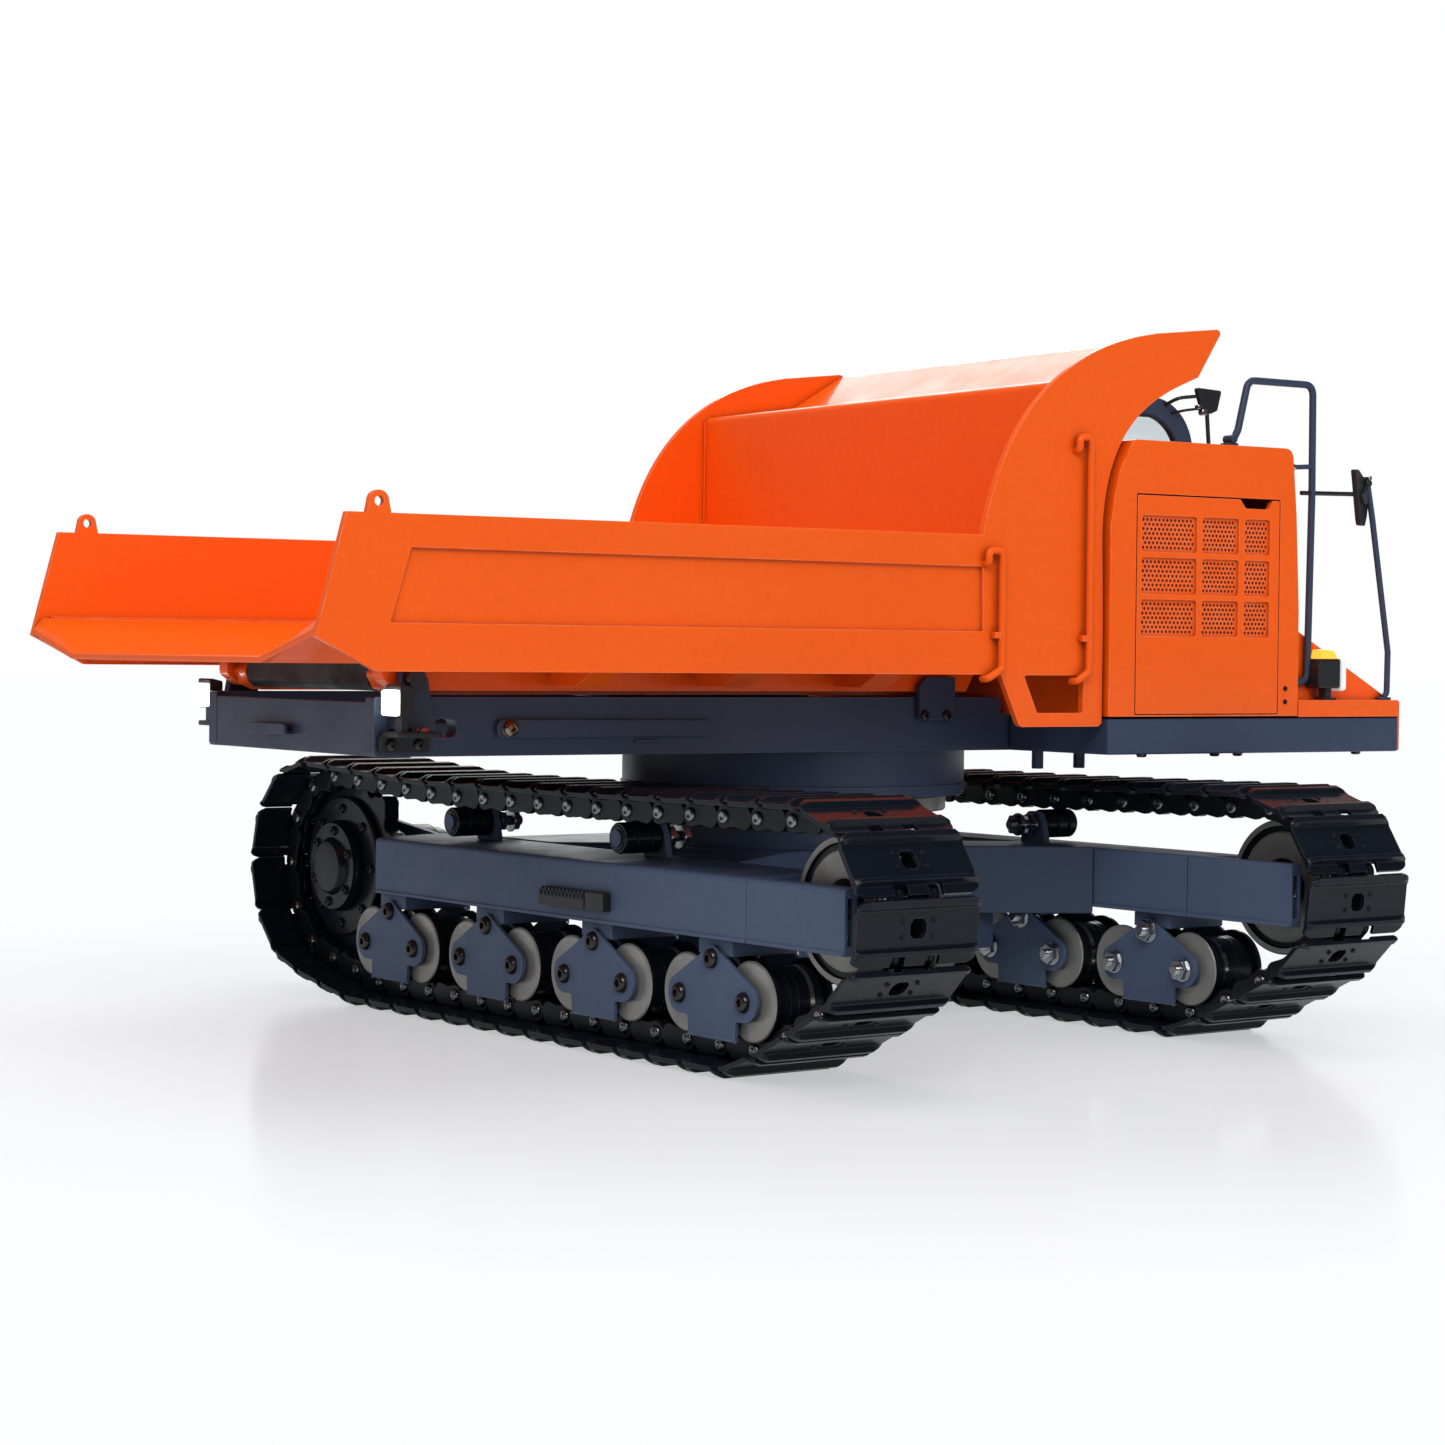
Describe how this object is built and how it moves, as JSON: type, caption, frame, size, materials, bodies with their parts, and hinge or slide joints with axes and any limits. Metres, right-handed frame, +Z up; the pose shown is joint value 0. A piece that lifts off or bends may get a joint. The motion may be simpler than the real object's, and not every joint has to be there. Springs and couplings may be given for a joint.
{
  "type": "toy tracked dump truck",
  "caption": "Scale crawler carrier: tipping dump bed, engine hood and cab on a slewing chassis over two steel tracks with rollers, idlers and sprockets.",
  "frame": {"origin": "on the slew axis at the underside of the belly plate, 22 mm above the ground under the shoes", "axes": "+X from the tail of the bed to the front of the cab, +Y to the cab side, +Z up; the tracks lie across, 86.7 degrees from +X, as the upper structure is slewed"},
  "size_m": [0.3611, 0.3269, 0.2048],
  "materials": {
    "orange_paint": "gloss",
    "slate_paint": "satin",
    "track_steel": "semi-gloss",
    "bare_steel": "turned",
    "black_plastic": "moulded",
    "clear_glazing": "clear",
    "seat_vinyl": "grained",
    "zinc": "plated",
    "lamp_lens": "clear",
    "amber_lens": "clear",
    "mirror_face": "polished"
  },
  "bodies": {
    "undercarriage": {"carbody_frame": "slate_paint", "slew_ring": "bare_steel", "track_belt_near": "track_steel", "track_frame_near": "slate_paint", "tensioner_fork_near": "slate_paint", "drive_motor_near": "black_plastic", "bogie_near_1": "slate_paint", "bogie_near_2": "slate_paint", "bogie_near_3": "slate_paint", "bogie_near_4": "slate_paint", "track_belt_far": "track_steel", "track_frame_far": "slate_paint", "tensioner_fork_far": "slate_paint", "drive_motor_far": "black_plastic", "bogie_far_1": "slate_paint", "bogie_far_2": "slate_paint", "bogie_far_3": "slate_paint", "bogie_far_4": "slate_paint"},
    "upper": {"chassis_frame": "slate_paint", "bed_hinge_shaft": "bare_steel", "platform_skirt": "slate_paint", "front_deck": "orange_paint", "engine_hood": "orange_paint", "hydraulic_power_pack": "black_plastic", "cab_shell": "slate_paint", "cab_glass": "clear_glazing", "operator_seat": "seat_vinyl", "handrail_with_mirror": "slate_paint", "headlight": "black_plastic", "tail_lamp_near": "black_plastic", "tail_lamp_far": "black_plastic"},
    "bed": {"dump_bed": "orange_paint"},
    "cylinder_barrel": {"dump_cylinder_barrel": "black_plastic"},
    "cylinder_rod": {"dump_cylinder_rod": "bare_steel"},
    "hood_door": {"hood_side_door": "orange_paint"},
    "cab_door": {"cab_door": "slate_paint"},
    "sprocket_near": {"sprocket_near": "track_steel"},
    "idler_near": {"idler_wheel_near": "bare_steel"},
    "roller_near_1a": {"track_roller_near_1a": "bare_steel"},
    "roller_near_1b": {"track_roller_near_1b": "bare_steel"},
    "roller_near_2a": {"track_roller_near_2a": "bare_steel"},
    "roller_near_2b": {"track_roller_near_2b": "bare_steel"},
    "roller_near_3a": {"track_roller_near_3a": "bare_steel"},
    "roller_near_3b": {"track_roller_near_3b": "bare_steel"},
    "roller_near_4a": {"track_roller_near_4a": "bare_steel"},
    "roller_near_4b": {"track_roller_near_4b": "bare_steel"},
    "carrier_near_1": {"carrier_roller_near_1": "track_steel"},
    "carrier_near_2": {"carrier_roller_near_2": "track_steel"},
    "sprocket_far": {"sprocket_far": "track_steel"},
    "idler_far": {"idler_wheel_far": "bare_steel"},
    "roller_far_1a": {"track_roller_far_1a": "bare_steel"},
    "roller_far_1b": {"track_roller_far_1b": "bare_steel"},
    "roller_far_2a": {"track_roller_far_2a": "bare_steel"},
    "roller_far_2b": {"track_roller_far_2b": "bare_steel"},
    "roller_far_3a": {"track_roller_far_3a": "bare_steel"},
    "roller_far_3b": {"track_roller_far_3b": "bare_steel"},
    "roller_far_4a": {"track_roller_far_4a": "bare_steel"},
    "roller_far_4b": {"track_roller_far_4b": "bare_steel"},
    "carrier_far_1": {"carrier_roller_far_1": "track_steel"},
    "carrier_far_2": {"carrier_roller_far_2": "track_steel"}
  },
  "joints": [
    {"name": "slew", "type": "hinge", "parent": "undercarriage", "child": "upper", "pos_m": [0, 0, 0.045], "axis": [0, 0, 1], "continuous": true},
    {"name": "bed_tilt", "type": "hinge", "parent": "upper", "child": "bed", "pos_m": [-0.1573, 0, 0.0805], "axis": [0, -1, 0], "range_deg": [0, 35]},
    {"name": "cylinder_swing", "type": "hinge", "parent": "upper", "child": "cylinder_barrel", "pos_m": [0.022, 0, 0.0685], "axis": [0, 1, 0], "range_deg": [0, 14.23]},
    {"name": "cylinder_stroke", "type": "slide", "parent": "cylinder_barrel", "child": "cylinder_rod", "axis": [-0.9962, 0, 0.0872], "range_m": [0, 0.01711]},
    {"name": "hood_door_hinge", "type": "hinge", "parent": "upper", "child": "hood_door", "pos_m": [0.0511, -0.097, 0.103], "axis": [0, 0, -1], "range_deg": [0, 95]},
    {"name": "cab_door_hinge", "type": "hinge", "parent": "upper", "child": "cab_door", "pos_m": [0.0843, 0.092, 0.118], "axis": [0, 0, 1], "range_deg": [0, 80]},
    {"name": "drive_near", "type": "hinge", "parent": "undercarriage", "child": "sprocket_near", "pos_m": [-0.08658, 0.11975, 0.0188], "axis": [0.9984, 0.0571, 0], "continuous": true},
    {"name": "idler_spin_near", "type": "hinge", "parent": "undercarriage", "child": "idler_near", "pos_m": [-0.07218, -0.13194, 0.023], "axis": [0.9984, 0.0571, 0], "continuous": true},
    {"name": "roller_near_1a_spin", "type": "hinge", "parent": "undercarriage", "child": "roller_near_1a", "pos_m": [-0.07386, -0.10249, -0.0026], "axis": [0.9984, 0.0571, 0], "continuous": true},
    {"name": "roller_near_1b_spin", "type": "hinge", "parent": "undercarriage", "child": "roller_near_1b", "pos_m": [-0.07548, -0.07433, -0.0026], "axis": [0.9984, 0.0571, 0], "continuous": true},
    {"name": "roller_near_2a_spin", "type": "hinge", "parent": "undercarriage", "child": "roller_near_2a", "pos_m": [-0.07703, -0.04718, -0.0026], "axis": [0.9984, 0.0571, 0], "continuous": true},
    {"name": "roller_near_2b_spin", "type": "hinge", "parent": "undercarriage", "child": "roller_near_2b", "pos_m": [-0.07864, -0.01903, -0.0026], "axis": [0.9984, 0.0571, 0], "continuous": true},
    {"name": "roller_near_3a_spin", "type": "hinge", "parent": "undercarriage", "child": "roller_near_3a", "pos_m": [-0.0802, 0.00813, -0.0026], "axis": [0.9984, 0.0571, 0], "continuous": true},
    {"name": "roller_near_3b_spin", "type": "hinge", "parent": "undercarriage", "child": "roller_near_3b", "pos_m": [-0.08181, 0.03628, -0.0026], "axis": [0.9984, 0.0571, 0], "continuous": true},
    {"name": "roller_near_4a_spin", "type": "hinge", "parent": "undercarriage", "child": "roller_near_4a", "pos_m": [-0.08336, 0.06344, -0.0026], "axis": [0.9984, 0.0571, 0], "continuous": true},
    {"name": "roller_near_4b_spin", "type": "hinge", "parent": "undercarriage", "child": "roller_near_4b", "pos_m": [-0.08497, 0.09159, -0.0026], "axis": [0.9984, 0.0571, 0], "continuous": true},
    {"name": "carrier_near_1_spin", "type": "hinge", "parent": "undercarriage", "child": "carrier_near_1", "pos_m": [-0.07773, -0.0349, 0.0361], "axis": [0.9984, 0.0571, 0], "continuous": true},
    {"name": "carrier_near_2_spin", "type": "hinge", "parent": "undercarriage", "child": "carrier_near_2", "pos_m": [-0.08277, 0.05306, 0.0361], "axis": [0.9984, 0.0571, 0], "continuous": true},
    {"name": "drive_far", "type": "hinge", "parent": "undercarriage", "child": "sprocket_far", "pos_m": [0.07236, 0.12885, 0.0188], "axis": [0.9984, 0.0571, 0], "continuous": true},
    {"name": "idler_spin_far", "type": "hinge", "parent": "undercarriage", "child": "idler_far", "pos_m": [0.08676, -0.12284, 0.023], "axis": [0.9984, 0.0571, 0], "continuous": true},
    {"name": "roller_far_1a_spin", "type": "hinge", "parent": "undercarriage", "child": "roller_far_1a", "pos_m": [0.08508, -0.09339, -0.0026], "axis": [0.9984, 0.0571, 0], "continuous": true},
    {"name": "roller_far_1b_spin", "type": "hinge", "parent": "undercarriage", "child": "roller_far_1b", "pos_m": [0.08346, -0.06524, -0.0026], "axis": [0.9984, 0.0571, 0], "continuous": true},
    {"name": "roller_far_2a_spin", "type": "hinge", "parent": "undercarriage", "child": "roller_far_2a", "pos_m": [0.08191, -0.03808, -0.0026], "axis": [0.9984, 0.0571, 0], "continuous": true},
    {"name": "roller_far_2b_spin", "type": "hinge", "parent": "undercarriage", "child": "roller_far_2b", "pos_m": [0.0803, -0.00993, -0.0026], "axis": [0.9984, 0.0571, 0], "continuous": true},
    {"name": "roller_far_3a_spin", "type": "hinge", "parent": "undercarriage", "child": "roller_far_3a", "pos_m": [0.07874, 0.01723, -0.0026], "axis": [0.9984, 0.0571, 0], "continuous": true},
    {"name": "roller_far_3b_spin", "type": "hinge", "parent": "undercarriage", "child": "roller_far_3b", "pos_m": [0.07713, 0.04538, -0.0026], "axis": [0.9984, 0.0571, 0], "continuous": true},
    {"name": "roller_far_4a_spin", "type": "hinge", "parent": "undercarriage", "child": "roller_far_4a", "pos_m": [0.07558, 0.07254, -0.0026], "axis": [0.9984, 0.0571, 0], "continuous": true},
    {"name": "roller_far_4b_spin", "type": "hinge", "parent": "undercarriage", "child": "roller_far_4b", "pos_m": [0.07397, 0.10069, -0.0026], "axis": [0.9984, 0.0571, 0], "continuous": true},
    {"name": "carrier_far_1_spin", "type": "hinge", "parent": "undercarriage", "child": "carrier_far_1", "pos_m": [0.08121, -0.0258, 0.0361], "axis": [0.9984, 0.0571, 0], "continuous": true},
    {"name": "carrier_far_2_spin", "type": "hinge", "parent": "undercarriage", "child": "carrier_far_2", "pos_m": [0.07617, 0.06215, 0.0361], "axis": [0.9984, 0.0571, 0], "continuous": true}
  ],
  "couplings": [
    {"joint": "cylinder_swing", "follows": "bed_tilt", "ratio": 0.40075},
    {"joint": "cylinder_stroke", "follows": "bed_tilt", "m_per_rad": 0.027683},
    {"joint": "idler_spin_near", "follows": "drive_near", "ratio": 1.2821},
    {"joint": "roller_near_1a_spin", "follows": "drive_near", "ratio": 3.0096},
    {"joint": "roller_near_1b_spin", "follows": "drive_near", "ratio": 3.0096},
    {"joint": "roller_near_2a_spin", "follows": "drive_near", "ratio": 3.0096},
    {"joint": "roller_near_2b_spin", "follows": "drive_near", "ratio": 3.0096},
    {"joint": "roller_near_3a_spin", "follows": "drive_near", "ratio": 3.0096},
    {"joint": "roller_near_3b_spin", "follows": "drive_near", "ratio": 3.0096},
    {"joint": "roller_near_4a_spin", "follows": "drive_near", "ratio": 3.0096},
    {"joint": "roller_near_4b_spin", "follows": "drive_near", "ratio": 3.0096},
    {"joint": "carrier_near_1_spin", "follows": "drive_near", "ratio": 6.0833},
    {"joint": "carrier_near_2_spin", "follows": "drive_near", "ratio": 6.0833},
    {"joint": "idler_spin_far", "follows": "drive_far", "ratio": 1.2821},
    {"joint": "roller_far_1a_spin", "follows": "drive_far", "ratio": 3.0096},
    {"joint": "roller_far_1b_spin", "follows": "drive_far", "ratio": 3.0096},
    {"joint": "roller_far_2a_spin", "follows": "drive_far", "ratio": 3.0096},
    {"joint": "roller_far_2b_spin", "follows": "drive_far", "ratio": 3.0096},
    {"joint": "roller_far_3a_spin", "follows": "drive_far", "ratio": 3.0096},
    {"joint": "roller_far_3b_spin", "follows": "drive_far", "ratio": 3.0096},
    {"joint": "roller_far_4a_spin", "follows": "drive_far", "ratio": 3.0096},
    {"joint": "roller_far_4b_spin", "follows": "drive_far", "ratio": 3.0096},
    {"joint": "carrier_far_1_spin", "follows": "drive_far", "ratio": 6.0833},
    {"joint": "carrier_far_2_spin", "follows": "drive_far", "ratio": 6.0833}
  ]
}
